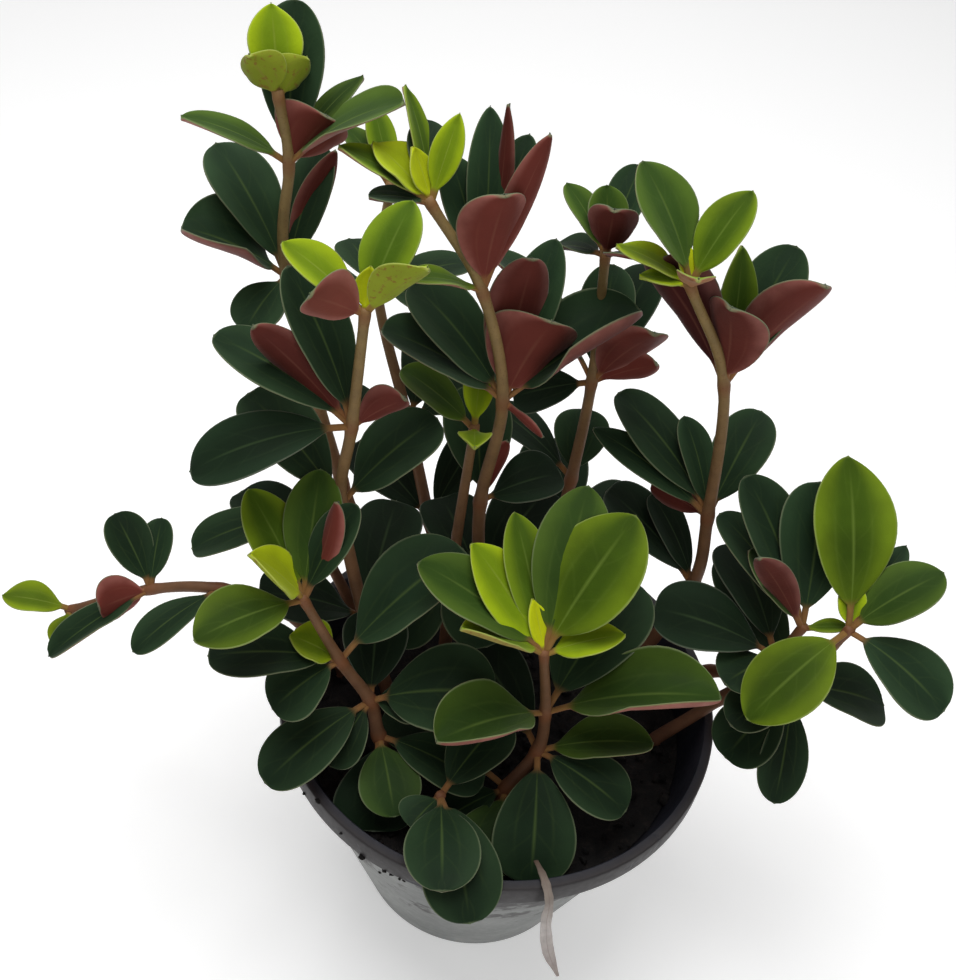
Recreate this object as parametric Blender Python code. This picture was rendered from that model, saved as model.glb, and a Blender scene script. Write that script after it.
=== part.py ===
"""A double duty peperomia in a round nursery pot.

Leafy stems stand in plain holes in the soil, and the soil fills a thin-walled pot. Each stem
carries whorls of leaves, and each leaf is a stalk that opens into an arched, cupped blade.
The design below is in millimetres, and the objects are made in metres.
The pot stands on z = 0, round the Z axis, and its front faces -Y.
"""
import math
from collections import namedtuple

import bmesh
import bpy
from mathutils import Matrix, Vector
from mathutils.bvhtree import BVHTree

MM = 0.001

# Pot
POT_HEIGHT = 84.0
RIM_RADIUS = 60.0
BASE_RADIUS = 34.5
WALL = 1.6
FLOOR = 2.0
LIP_HEIGHT = 7.0
LIP_STEP = 1.2
POT_SIDES = 36
DRAIN_HOLES = 6
DRAIN_RADIUS = 3.5
DRAIN_CIRCLE = 27.0
DRAIN_SIDES = 10

# Soil
GAP = 0.3
SOIL_TOP = 70.0
SOIL_BUMP = 1.0
SOIL_RINGS = 4
SOIL_SIDES = 24
ROOT_FOOT = 58.0
COLLAR = 72.5
HOLE_RADIUS = 2.7
HOLE_SIDES = 8

# Stems
STEM_ROOT_RADIUS = 2.1
STEM_TIP_RADIUS = 1.1
STEM_SIDES = 6
STEM_SPANS = 2
STEM_BUD = 1.5

# Leaves
STALK_SHARE = 0.14
STALK_HALF_WIDTH = 0.9
STALK_SINK = 0.5
TIP_HALF_WIDTH = 0.6
WIDEST = 0.5
FOOT_POWER = 0.85
SHARP_TIP = 0.95
TIP_ROUNDING = 0.11
BROAD = 0.5
CUP_ONSET = 2.5
RIB_THICKNESS = 1.3
EDGE_THICKNESS = 0.8
ARC_STEPS = 60
STATIONS = (0.0, 0.14, 0.38, 0.72, 1.0)
SMALL_STATIONS = (0.0, 0.14, 0.55, 1.0)
SMALL_LENGTH = 30.5
BUD_LENGTH = 14.0

# Room between leaves
ELBOW_ROOM = 0.4
TURN_STEP = 4
TURN_STEPS = 7
SHRINKS = (1.0, 0.9, 0.8, 0.7)
SHRINK_COST = 80.0

# Withered leaf that has dropped over the front of the rim
DRY_PATH = ((13.5, -50.0, 82.4), (15.0, -54.5, 84.9), (16.2, -58.0, 85.3), (17.3, -60.5, 82.5),
            (18.0, -60.8, 72.0), (20.5, -60.5, 58.0), (25.0, -60.0, 43.5))
DRY_HALF_WIDTHS = (0.6, 1.0, 1.2, 1.2, 1.5, 1.9, 0.6)
DRY_THICKNESS = 0.7

# A leaf's direction is its azimuth, from +X towards +Y, and its lift above the horizontal.
# Roll turns it about its length, arch bends its tip down, and cup turns up its two halves.
# Age runs from 0, a bud, to 5, one of the oldest leaves. Angles are in degrees.
Leaf = namedtuple("Leaf", "azimuth lift length width roll arch cup age")

# Each stem is a list of points from the soil up, and its whorls run from the tip down: the
# first grows at the last point, the second at the point before it, and so on.
SHOOTS = {
    "shoot_front": (
        [(4, -30), (5, -28, 78), (11.5, -22, 88), (11.5, -20, 102), (8, -20, 125)],
        [[(52, 47, 40, 24, 0, 25, 15, 2), (144, 36, 32, 17, 0, 20, 25, 1),
          (115, 38, 35, 13, 0, 20, 25, 2), (11, 20, 20, 11, 0, 25, 30, 1),
          (-167, 28, 24, 14, 10, 25, 60, 1.5), (121, 50, 14, 6, 0, 10, 30, 0),
          (167, 28, 38, 18, 0, 30, 25, 3), (80, 43, 42, 18, 0, 30, 15, 3)],
         [(3, 17, 44, 25, -8, 35, 70, 3), (-145, 14, 33, 23, 5, 35, 70, 3),
          (60, 25, 42, 24, 0, 30, 20, 4)],
         [(3, 15, 30, 15, 0, 35, 50, 3), (-86, -29, 33, 21, 0, 40, 15, 4),
          (-29, -5, 27, 17, 0, 35, 20, 4), (128, 12, 33, 18, 0, 35, 20, 5)],
         [(-99, -17, 23, 19, 0, 35, 20, 3.5), (153, 2, 39, 20, 0, 35, 20, 4),
          (-151, -20, 19, 12, 0, 35, 15, 4)]]),
    "shoot_front_left": (
        [(-25, -22), (-30, -22, 85), (-33, -20, 97), (-41, -20, 112), (-50, -20, 133)],
        [[(137, 40, 29, 14, 0, 30, 20, 2), (91, 44, 31, 14, 0, 30, 20, 3),
          (-169, 53, 20, 14, 0, 20, 45, 0.5), (63, 62, 26, 8, 160, 25, 35, 4),
          (56, 48, 26, 11, 0, 30, 25, 4), (-143, 0, 27, 18, 0, 30, 30, 2.5)],
         [(-166, 8, 32, 18, 0, 35, 30, 4), (41, 31, 41, 22, 0, 35, 40, 4),
          (-139, -20, 20, 17, 0, 35, 20, 4), (174, 22, 14, 14, 0, 20, 50, 1)],
         [(-133, -12, 33, 17, 0, 35, 15, 4), (0, 18, 33, 25, 10, 45, 20, 4),
          (4, -8, 13, 13, 0, 30, 25, 4), (-115, -26, 19, 12, 0, 30, 20, 4),
          (95, 32, 23, 16, 0, 30, 20, 5)],
         [(-16, -8, 30, 16, 0, 35, 20, 4), (-70, -12, 22, 16, 0, 35, 20, 3.5),
          (-84, -32, 24, 20, 0, 35, 15, 5)]]),
    "shoot_front_low": (
        [(-14, -34), (-12, -38, 86)],
        [[(-83, 9, 28, 18, 0, 40, 15, 4), (-70, -8, 32, 19, 0, 75, 0, 4),
          (-125, -6, 11, 12, 0, 35, 15, 4), (56, 20, 26, 16, 0, 35, 20, 4)]]),
    "shoot_right_front": (
        [(44, 14), (50, 12.5, 82), (58, 10.5, 90), (66, 7, 94), (77, 0, 101), (84, 0, 126)],
        [[(101, 45, 44, 22, 0, 30, 15, 2), (21, 40, 27, 16, 0, 30, 20, 3),
          (-37, -11, 29, 21, 0, 35, 15, 4), (-140, -30, 34, 20, 0, 35, 10, 2),
          (95, 45, 13, 8, 0, 10, 35, 1), (56, 25, 28, 8, 0, 30, 20, 4)],
         [(122, 16, 40, 17, 0, 35, 20, 4), (-141, -5, 22, 14, 0, 35, 30, 4),
          (-137, -40, 26, 18, 0, 35, 15, 4), (-93, -43, 31, 13, 0, 35, 15, 4),
          (4, -11, 27, 20, 0, 35, 20, 4)]]),
    "shoot_right_inner": (
        [(46, -2), (60, 0, 92), (70, 2, 110), (74, 3, 121)],
        [[(130, 42, 42, 18, 0, 30, 20, 4), (-169, 55, 33, 9, 70, 25, 30, 4),
          (148, 38, 25, 13, 0, 25, 25, 3.5),
          (93, 50, 38, 20, 0, 30, 20, 4), (136, 24, 36, 15, 0, 35, 20, 4),
          (4, 10, 12, 5, 0, 20, 30, 2)],
         [(169, 8, 34, 22, 0, 35, 20, 5), (110, 15, 34, 18, 0, 35, 20, 5),
          (-141, 0, 18, 15, 0, 30, 20, 4)]]),
    "shoot_trailing_left": (
        [(-45, 8), (-60, 3, 100), (-76, 0, 109), (-95, 0, 105), (-118, 0, 92)],
        [[(-172, 15, 18, 11, 0, 25, 30, 1.5), (-100, -25, 11, 7, 0, 20, 30, 1.5)],
         [(136, 44, 22, 12, 0, 25, 30, 4), (90, 42, 19, 9, 0, 25, 35, 4),
          (-144, -24, 31, 11, 0, 25, 50, 4), (-141, 2, 14, 14, 105, 25, 30, 4)],
         [(-134, -15, 27, 11, 0, 35, 20, 4)]]),
    "shoot_middle_left": (
        [(-30, 0), (-38, 0, 105), (-45, 0, 146), (-43, 0, 171), (-41, 0, 202)],
        [[(164, 30, 22, 13, 0, 20, 25, 1), (64, 50, 25, 13, 0, 25, 20, 2),
          (88, 63, 10, 6, 0, 15, 30, 0), (-15, 50, 20, 12, -45, 25, 40, 1),
          (-148, 32, 14, 14, 80, 20, 35, 3.5)],
         [(142, 55, 38, 15, 0, 30, 30, 4), (-176, 50, 33, 11, 95, 30, 40, 4),
          (174, 29, 36, 17, 0, 30, 20, 4), (3, 41, 15, 10, -80, 30, 45, 4),
          (-160, -14, 37, 15, -20, 60, 20, 5)],
         [(147, 27, 35, 19, 0, 30, 20, 4), (38, 34, 31, 19, 0, 30, 20, 4)],
         [(-165, 25, 30, 18, 0, 35, 20, 5), (86, 12, 38, 18, 0, 35, 20, 5)]]),
    "shoot_low_centre": (
        [(-16, 12), (-17, 18, 110), (-16, 20, 158)],
        [[(92, 52, 19, 8, 0, 20, 25, 1), (-85, 15, 10, 9, 0, 20, 40, 1),
          (161, 26, 23, 13, 0, 25, 25, 3)],
         [(-120, -20, 27, 18, 0, 30, 25, 4), (-60, -14, 25, 20, 0, 30, 20, 4),
          (-29, 18, 30, 18, 0, 30, 25, 4)]]),
    "shoot_centre": (
        [(-5, 20), (-9, 20, 102), (-12, 20, 134), (-10, 20, 168), (-18, 20, 198), (-31, 20, 218)],
        [[(159, 32, 17, 13, 0, 20, 40, 0.6), (171, 22, 22, 10, 0, 20, 40, 2),
          (141, 58, 12, 7, 0, 10, 30, 0.3), (66, 60, 19, 7, 20, 20, 25, 1),
          (104, 40, 18, 9, 0, 20, 25, 4), (119, 44, 25, 7, 30, 20, 25, 2),
          (-168, 5, 13, 7, 0, 20, 30, 4)],
         [(-51, 82, 26, 16, -10, 25, 35, 4), (73, 56, 35, 11, 0, 25, 25, 4),
          (28, 73, 38, 8, -95, 10, 30, 4), (101, 62, 39, 10, 0, 25, 25, 4),
          (88, 71, 40, 5, 150, 25, 25, 4), (130, 55, 30, 12, 0, 25, 25, 4),
          (-150, 20, 20, 8, 0, 30, 30, 2.5)],
         [(12, 70, 25, 23, -85, 30, 35, 4), (27, 32, 39, 26, -12, 14, 75, 4),
          (180, 28, 34, 18, 0, 30, 30, 4), (76, 76, 36, 16, -140, 25, 25, 4),
          (72, 54, 40, 13, 0, 25, 25, 4), (155, 38, 35, 20, 0, 30, 20, 4),
          (-29, -20, 13, 2.5, -105, 20, 20, 4)],
         [(56, 62, 18, 6, -125, 25, 30, 4), (105, 42, 30, 18, 0, 30, 20, 4),
          (20, 18, 22, 17, 0, 30, 20, 5)],
         [(60, 25, 34, 20, 0, 35, 20, 5), (119, 12, 30, 18, 0, 35, 20, 5)]]),
    "shoot_right": (
        [(40, 24), (49.5, 25, 108), (47.5, 25, 135), (40.5, 22, 180), (26, 18, 208)],
        [[(145, 50, 28, 17, 0, 25, 20, 3), (44, 55, 23, 12, 0, 25, 25, 2),
          (125, 52, 10, 5, 0, 10, 30, 0), (166, 15, 18, 9, 0, 25, 30, 1),
          (175, 0, 11, 7, 0, 20, 30, 1), (-90, 40, 10, 9, 0, 20, 40, 2)],
         [(-125, 70, 28, 16, 0, 25, 35, 4), (57, 57, 35, 15, 0, 30, 20, 4),
          (-5, 65, 34, 17, -62, 25, 45, 4), (-179, 53, 38, 17, 60, 30, 50, 5),
          (108, 72, 33, 10, 0, 15, 25, 2.5)],
         [(143, 30, 40, 18, 0, 35, 15, 4), (121, 44, 27, 10, 0, 30, 20, 4),
          (153, 5, 17, 10, 105, 30, 45, 4), (63, 42, 31, 15, 0, 30, 25, 4),
          (161, 23, 38, 10, -20, 35, 20, 4)],
         [(134, 40, 28, 11, 0, 35, 20, 5), (154, 32, 36, 18, 0, 30, 20, 5)]]),
    "shoot_back_left": (
        [(-34, 30), (-50, 30, 125), (-64, 30, 188), (-63, 30, 217), (-65, 30, 232)],
        [[(110, 60, 18, 12, 0, 20, 35, 1), (-150, 58, 11, 11, 60, 20, 50, 1),
          (30, 50, 10, 10, -80, 20, 50, 1)],
         [(95, 66, 33, 14, 0, 25, 25, 4),
          (10, 55, 14, 18, -75, 20, 35, 4), (-1, 36, 30, 18, 0, 30, 30, 3),
          (49, 36, 25, 7, 0, 30, 20, 3), (-176, 20, 24, 10, 0, 30, 30, 3)],
         [(73, 53, 31, 12, 0, 25, 20, 4), (58, 58, 31, 8, -115, 25, 20, 4),
          (141, 42, 34, 16, 0, 30, 20, 4),
          (-170, 27, 26, 23, 0, 30, 65, 4), (-114, -22, 17, 13, 0, 35, 20, 4)],
         [(150, 20, 34, 18, 0, 35, 20, 5)]]),
    "shoot_behind_right": (
        [(10, 40), (11, 40, 98), (12, 40, 128), (12, 40, 162), (9, 40, 199)],
        [[(140, 38, 19, 9, 0, 25, 25, 3), (107, 60, 16, 10, 0, 20, 25, 3),
          (-96, 70, 16, 12, 0, 20, 40, 4), (68, 52, 22, 10, 0, 25, 25, 4),
          (135, -22, 18, 11, 0, 25, 35, 4), (-60, 30, 14, 10, 0, 25, 30, 4)],
         [(-46, 58, 29.5, 15, -35, 26, 30, 4), (-10,35, 18, 11, -75, 25, 30, 4),
          (164, 42, 42, 20, 20, 30, 30, 4), (86, 52, 30, 14, 0, 30, 20, 4),
          (60, 47, 33, 14, 0, 25, 25, 5), (178, -25, 21, 13, -25, 25, 20, 5)],
         [(146, 15, 31, 13, 0, 35, 20, 5), (84, 38, 20, 15, 0, 30, 20, 4)],
         [(100, 38, 34, 20, 0, 35, 20, 5), (35, 22, 31, 18, 0, 35, 20, 5)]]),
    "shoot_left_back": (
        [(-40, 21), (-52, 20, 105), (-58, 16, 124)],
        [[(-162, -18, 30, 15, 0, 35, 20, 4)],
         [(150, 8, 32, 17, 0, 35, 20, 5)]]),
    "shoot_back_centre": (
        [(-18, 42), (-26, 46, 98), (-35, 52, 130), (-46, 56, 170), (-44, 56, 200)],
        [[(122, 50, 20, 8, 0, 20, 25, 2), (20, 40, 14, 8, 0, 20, 30, 3),
          (150, 35, 18, 9, 0, 25, 25, 3)],
         [(121, 7, 21, 12, 0, 30, 20, 4), (-150, 20, 22, 15, 0, 30, 30, 4),
          (30, 8, 26, 13, 0, 30, 20, 4), (-8, -5, 25, 17, 0, 30, 20, 4)],
         [(80, 25, 33, 16, 0, 35, 20, 5), (172, 2, 34, 15, 0, 35, 20, 5),
          (30, 20, 32, 20, 0, 35, 20, 4)],
         [(64, 30, 32, 14, 0, 35, 20, 5), (150, 25, 32, 20, 0, 35, 20, 5)]]),
}

COLOURS = {
    "pot": ((0.045, 0.045, 0.048), 0.45),
    "soil": ((0.018, 0.013, 0.011), 0.95),
    "shoot": ((0.055, 0.120, 0.045), 0.55),
    "withered_leaf": ((0.55, 0.47, 0.42), 0.80),
}


# Shapes as lists of points and triangles

def outline(share, leaf):
    """Half width of a blade at a share of its length; old, broad blades have rounder tips."""
    if share <= 0.0 or share >= 1.0:
        return 0.0
    breadth = min(1.0, leaf.width / leaf.length / BROAD)
    foot = (share / WIDEST) ** FOOT_POWER
    tip = ((1.0 - share) / (1.0 - WIDEST)) ** (SHARP_TIP - TIP_ROUNDING * leaf.age * breadth)
    return foot * tip


def leaf_axes(leaf):
    """Unit vectors along a leaf, across it and out of its upper face."""
    azimuth = math.radians(leaf.azimuth)
    lift = math.radians(leaf.lift)
    along = Vector((math.cos(lift) * math.cos(azimuth), math.cos(lift) * math.sin(azimuth),
                    math.sin(lift)))
    across = Vector((-math.sin(azimuth), math.cos(azimuth), 0.0))
    turn = Matrix.Rotation(math.radians(leaf.roll), 3, along)
    return along, turn @ across, turn @ along.cross(across)


def midrib(leaf):
    """Distances along and above the chord for an arc of the leaf's length and arch."""
    run, rise = [0.0], [0.0]
    for step in range(ARC_STEPS):
        bend = math.radians(leaf.arch) * (0.5 - (step + 0.5) / ARC_STEPS)
        run.append(run[-1] + math.cos(bend))
        rise.append(rise[-1] + math.sin(bend))
    scale = leaf.length / run[-1]
    return [value * scale for value in run], [value * scale for value in rise]


def leaf_sections(base, leaf, stations, extra=0.0):
    """Closed sections of six points, from the stalk to the tip; extra makes a leaf thicker."""
    along, across, out = leaf_axes(leaf)
    run, rise = midrib(leaf)
    sections = []
    for station in stations:
        step = round(station * ARC_STEPS)
        centre = base + along * (run[step] - (STALK_SINK if station == 0.0 else 0.0)) + out * rise[step]
        bend = math.radians(leaf.arch) * (0.5 - station)
        normal = out * math.cos(bend) - along * math.sin(bend)
        share = (station - STALK_SHARE) / (1.0 - STALK_SHARE)
        least = TIP_HALF_WIDTH if station > 0.9 else STALK_HALF_WIDTH
        half = max(leaf.width / 2 * outline(share, leaf), least) + extra
        cup = math.radians(leaf.cup) * min(1.0, max(share, 0.0) * CUP_ONSET)
        reach = half * (math.sin(cup) / cup if cup > 0.0 else 1.0)
        raised = half * ((1.0 - math.cos(cup)) / cup if cup > 0.0 else 0.0)
        rib = normal * (RIB_THICKNESS / 2 + extra)
        upper, lower = [], []
        for side in (-1.0, 1.0):
            edge = centre + across * (side * reach) + normal * raised
            facing = normal * math.cos(cup) - across * (side * math.sin(cup))
            skin = facing * (EDGE_THICKNESS / 2 + extra)
            upper.append(edge + skin)
            lower.append(edge - skin)
        sections.append([upper[0], centre + rib, upper[1], lower[1], centre - rib, lower[0]])
    return sections


def leaf_triangles(count):
    """Triangles of a leaf with so many sections, split alike on its upper and lower faces."""
    triangles = []
    for ring in range(count - 1):
        a, b = 6 * ring, 6 * ring + 6
        for edge, rib in ((0, 1), (3, 4)):
            triangles += [(a + edge, b + rib, a + rib), (a + edge, b + edge, b + rib)]
        for rib, edge in ((1, 2), (4, 5)):
            triangles += [(a + rib, b + rib, a + edge), (a + edge, b + rib, b + edge)]
        for first, second in ((2, 3), (5, 0)):
            triangles += [(a + first, b + second, a + second), (a + first, b + first, b + second)]
    last = 6 * (count - 1)
    for first, second, third in ((0, 1, 4), (0, 4, 5), (1, 2, 3), (1, 3, 4)):
        triangles.append((first, second, third))
        triangles.append((last + first, last + third, last + second))
    return triangles


def smooth_path(points, spans):
    """Points of a smooth curve through the given ones."""
    first = points[0] * 2 - points[1]
    final = points[-1] * 2 - points[-2]
    knots = [first, *points, final]
    path = []
    for index in range(1, len(knots) - 2):
        before, start, end, after = knots[index - 1:index + 3]
        for span in range(spans):
            t = span / spans
            path.append((start * 2 + (end - before) * t
                         + (before * 2 - start * 5 + end * 4 - after) * t ** 2
                         + (start * 3 - end * 3 + after - before) * t ** 3) / 2)
    return path + [points[-1]]


def tube(path, radii, sides):
    """Points and faces of a closed tube that keeps its sides in line from ring to ring."""
    vertices, faces = [], []
    side = Vector((1, 0, 0))
    for index, (centre, radius) in enumerate(zip(path, radii)):
        ahead = path[min(index + 1, len(path) - 1)] - path[max(index - 1, 0)]
        if index == 0:
            ahead = Vector((0, 0, 1))
        ahead.normalize()
        side = (side - ahead * side.dot(ahead)).normalized()
        other = ahead.cross(side)
        for corner in range(sides):
            angle = 2 * math.pi * corner / sides
            vertices.append(centre + (side * math.cos(angle) + other * math.sin(angle)) * radius)
    for ring in range(len(path) - 1):
        for corner in range(sides):
            a = ring * sides + corner
            b = ring * sides + (corner + 1) % sides
            faces += [(a, b, b + sides), (a, b + sides, a + sides)]
    faces.append(tuple(reversed(range(sides))))
    faces.append(tuple(range(len(vertices) - sides, len(vertices))))
    return vertices, faces


def stem_points(points):
    """The stem's points: straight up through the soil, then through its nodes."""
    root = points[0]
    return [Vector((*root, ROOT_FOOT)), Vector((*root, COLLAR))] + [Vector(p) for p in points[1:]]


def stem_tube(points):
    """A stem that stands upright in its hole and thins towards its tip."""
    foot, *nodes = stem_points(points)
    path = [foot] + smooth_path(nodes, STEM_SPANS)
    path[-1] = path[-1] + (path[-1] - path[-2]).normalized() * STEM_BUD
    last = len(path) - 1
    radii = [STEM_ROOT_RADIUS + (STEM_TIP_RADIUS - STEM_ROOT_RADIUS) * i / last for i in range(last + 1)]
    radii[0] = radii[1] = STEM_ROOT_RADIUS
    return tube(path, radii, STEM_SIDES)


def turned(profile, sides):
    """Points and faces of a closed shape turned round Z, from its bottom centre to its top."""
    vertices, faces, rings = [], [], []
    for radius, height in profile:
        if radius == 0.0:
            rings.append([len(vertices)] * sides)
            vertices.append(Vector((0, 0, height)))
            continue
        rings.append(list(range(len(vertices), len(vertices) + sides)))
        for corner in range(sides):
            angle = 2 * math.pi * corner / sides
            vertices.append(Vector((radius * math.cos(angle), radius * math.sin(angle), height)))
    for lower, upper in zip(rings, rings[1:]):
        for corner in range(sides):
            after = (corner + 1) % sides
            face = (lower[corner], lower[after], upper[after], upper[corner])
            faces.append(tuple(dict.fromkeys(face)))
    return vertices, faces


# The pot and the soil

def outer_radius(height):
    """Radius of the tapered wall's outside at a height, below the lip."""
    return BASE_RADIUS + (RIM_RADIUS - LIP_STEP - BASE_RADIUS) * height / POT_HEIGHT


def pot_shape():
    """A tapered cup with a stepped lip; the profile runs from under the floor up and inside."""
    lip = POT_HEIGHT - LIP_HEIGHT
    profile = [(0.0, 0.0), (BASE_RADIUS - 1.0, 0.0), (outer_radius(1.0), 1.0),
               (outer_radius(lip), lip), (RIM_RADIUS - 0.4, lip + 0.4),
               (RIM_RADIUS, POT_HEIGHT - 0.5), (RIM_RADIUS - 0.5, POT_HEIGHT),
               (outer_radius(POT_HEIGHT) - WALL, POT_HEIGHT),
               (outer_radius(FLOOR) - WALL, FLOOR), (0.0, FLOOR)]
    return turned(profile, POT_SIDES)


def soil_shape():
    """Potting mix that fills the pot, with low uneven mounds on top."""
    side = GAP + WALL
    bottom = FLOOR + GAP
    profile = [(0.0, bottom), (outer_radius(bottom) - side, bottom),
               (outer_radius(SOIL_TOP) - side, SOIL_TOP)]
    edge = profile[-1][0]
    profile += [(edge * ring / SOIL_RINGS, SOIL_TOP) for ring in range(SOIL_RINGS - 1, -1, -1)]
    vertices, faces = turned(profile, SOIL_SIDES)
    for point in vertices:
        distance = math.hypot(point.x, point.y)
        if point.z == SOIL_TOP and distance < edge - 1.0:
            waves = math.sin(point.x * 0.21 + 1.0) * math.cos(point.y * 0.17)
            ripples = math.sin(point.x * 0.53 - point.y * 0.47)
            point.z += SOIL_BUMP * (0.7 * waves + 0.5 * ripples)
    return vertices, faces


# Room for every leaf

def solid_tree(shape):
    """A search tree of a shape's faces, with its lowest and highest corners."""
    vertices, faces = shape
    low = Vector([min(point[axis] for point in vertices) for axis in range(3)])
    high = Vector([max(point[axis] for point in vertices) for axis in range(3)])
    return BVHTree.FromPolygons(vertices, faces), low, high


def touches(one, other):
    """Whether two shapes' faces cross."""
    tree, low, high = one
    other_tree, other_low, other_high = other
    if any(low[axis] > other_high[axis] or high[axis] < other_low[axis] for axis in range(3)):
        return False
    return bool(tree.overlap(other_tree))


def leaf_shape(base, leaf, extra=0.0):
    """Points and triangles of one leaf; a short one has fewer sections."""
    stations = SMALL_STATIONS if leaf.length < SMALL_LENGTH else STATIONS
    sections = leaf_sections(base, leaf, stations, extra)
    return [point for section in sections for point in section], leaf_triangles(len(sections))


def small_moves():
    """Turns, lifts and shrinks from the least change to the greatest."""
    steps = [TURN_STEP * count for count in range(-TURN_STEPS, TURN_STEPS + 1)]
    moves = [(turn, lift, shrink) for turn in steps for lift in steps for shrink in SHRINKS]
    return sorted(moves, key=lambda move: math.hypot(move[0], move[1]) + SHRINK_COST * (1 - move[2]))


def trials(leaf, moves):
    """The leaf as drawn, then turned, lifted or shortened a little more each time."""
    for turn, lift, shrink in moves:
        yield leaf._replace(azimuth=leaf.azimuth + turn, lift=leaf.lift + lift,
                            length=leaf.length * shrink, width=leaf.width * shrink)


def settled_leaves():
    """Every shoot's leaves but its buds, each moved aside where it would run into another shoot."""
    stems = {name: solid_tree(stem_tube(points)) for name, (points, _) in SHOOTS.items()}
    holders = [solid_tree(pot_shape()), solid_tree(soil_shape()), solid_tree(dry_shape())]
    moves = small_moves()
    others, result = [], {}
    for name, (points, whorls) in SHOOTS.items():
        nodes = stem_points(points)
        walls = holders + others + [tree for key, tree in stems.items() if key != name]
        result[name] = []
        for level, whorl in enumerate(whorls):
            base = nodes[-1 - level]
            drawn = [Leaf(*values) for values in whorl]
            for leaf in (leaf for leaf in drawn if leaf.length >= BUD_LENGTH):
                clear = clear_leaf(base, trials(leaf, moves), walls)
                if clear:
                    result[name].append((base, clear))
                    others.append(solid_tree(leaf_shape(base, clear)))
    return result


def clear_leaf(base, drawn_and_moved, walls):
    """The first trial that keeps clear of the pot, the soil and the other shoots."""
    for leaf in drawn_and_moved:
        whole = solid_tree(leaf_shape(base, leaf, ELBOW_ROOM))
        if not any(touches(whole, wall) for wall in walls):
            return leaf
    return None


def dry_shape():
    """A narrow withered leaf: a bent strip that hooks over the rim and hangs down outside."""
    path = [Vector(point) for point in DRY_PATH]
    sections = []
    for index, (centre, half) in enumerate(zip(path, DRY_HALF_WIDTHS)):
        ahead = path[min(index + 1, len(path) - 1)] - path[max(index - 1, 0)]
        outward = Vector((centre.x, centre.y, 0)).normalized()
        across = Vector((-outward.y, outward.x, 0))
        normal = across.cross(ahead).normalized() * (DRY_THICKNESS / 2)
        left, right = centre - across * half, centre + across * half
        sections.append([left + normal, centre + normal * 1.3, right + normal,
                         right - normal, centre - normal, left - normal])
    return [point for section in sections for point in section], leaf_triangles(len(sections))


# Objects

def material(name, colour, roughness):
    """A Principled material of one colour."""
    made = bpy.data.materials.new(name)
    made.use_nodes = True
    shader = made.node_tree.nodes["Principled BSDF"]
    shader.inputs["Base Color"].default_value = (*colour, 1.0)
    shader.inputs["Roughness"].default_value = roughness
    shader.inputs["Metallic"].default_value = 0.0
    made.diffuse_color = (*colour, 1.0)
    return made


def add_object(name, shape, collection=None):
    """A mesh object from points in millimetres and faces, its faces turned outwards."""
    vertices, faces = shape
    mesh = bpy.data.meshes.new(name)
    mesh.from_pydata([point * MM for point in vertices], [], faces)
    shaped = bmesh.new()
    shaped.from_mesh(mesh)
    bmesh.ops.recalc_face_normals(shaped, faces=shaped.faces)
    shaped.to_mesh(mesh)
    shaped.free()
    made = bpy.data.objects.new(name, mesh)
    (collection or bpy.context.scene.collection).objects.link(made)
    return made


def combine(target, shapes, operation, solver="EXACT"):
    """Joins or cuts the target with all the shapes at once, then clears the helpers away."""
    helpers = bpy.data.collections.new(target.name + "_pieces")
    bpy.context.scene.collection.children.link(helpers)
    for index, shape in enumerate(shapes):
        add_object(f"{target.name}_piece_{index}", shape, helpers)
    boolean = target.modifiers.new("Combine", "BOOLEAN")
    boolean.operation = operation
    boolean.operand_type = "COLLECTION"
    boolean.collection = helpers
    boolean.solver = solver
    graph = bpy.context.evaluated_depsgraph_get()
    mesh = bpy.data.meshes.new_from_object(target.evaluated_get(graph))
    keep_largest(mesh)
    target.modifiers.clear()
    target.data = mesh
    for helper in list(helpers.objects):
        bpy.data.objects.remove(helper)
    bpy.data.collections.remove(helpers)


def keep_largest(mesh):
    """Drops loose scraps and the walls of sealed hollows, which fills them."""
    shaped = bmesh.new()
    shaped.from_mesh(mesh)
    bodies, waiting = [], set(shaped.verts)
    while waiting:
        body, edge = set(), [waiting.pop()]
        while edge:
            point = edge.pop()
            body.add(point)
            near = {link.other_vert(point) for link in point.link_edges} & waiting
            waiting -= near
            edge.extend(near)
        bodies.append(body)
    bodies.sort(key=len)
    bmesh.ops.delete(shaped, geom=[point for body in bodies[:-1] for point in body], context="VERTS")
    shaped.to_mesh(mesh)
    shaped.free()


def drain_cutters():
    """Short cylinders through the floor, in a ring."""
    profile = [(0.0, -1.0), (DRAIN_RADIUS, -1.0), (DRAIN_RADIUS, FLOOR + 1.0), (0.0, FLOOR + 1.0)]
    vertices, faces = turned(profile, DRAIN_SIDES)
    for index in range(DRAIN_HOLES):
        angle = 2 * math.pi * index / DRAIN_HOLES
        place = Vector((math.cos(angle), math.sin(angle), 0)) * DRAIN_CIRCLE
        yield [point + place for point in vertices], faces


def root_cutters():
    """A plain hole in the soil for every stem, a little wider and deeper than its foot."""
    foot = ROOT_FOOT - GAP
    top = SOIL_TOP + 4 * SOIL_BUMP
    profile = [(0.0, foot), (HOLE_RADIUS, foot), (HOLE_RADIUS, top), (0.0, top)]
    vertices, faces = turned(profile, HOLE_SIDES)
    for points, _ in SHOOTS.values():
        place = Vector((*points[0], 0))
        yield [point + place for point in vertices], faces


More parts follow.
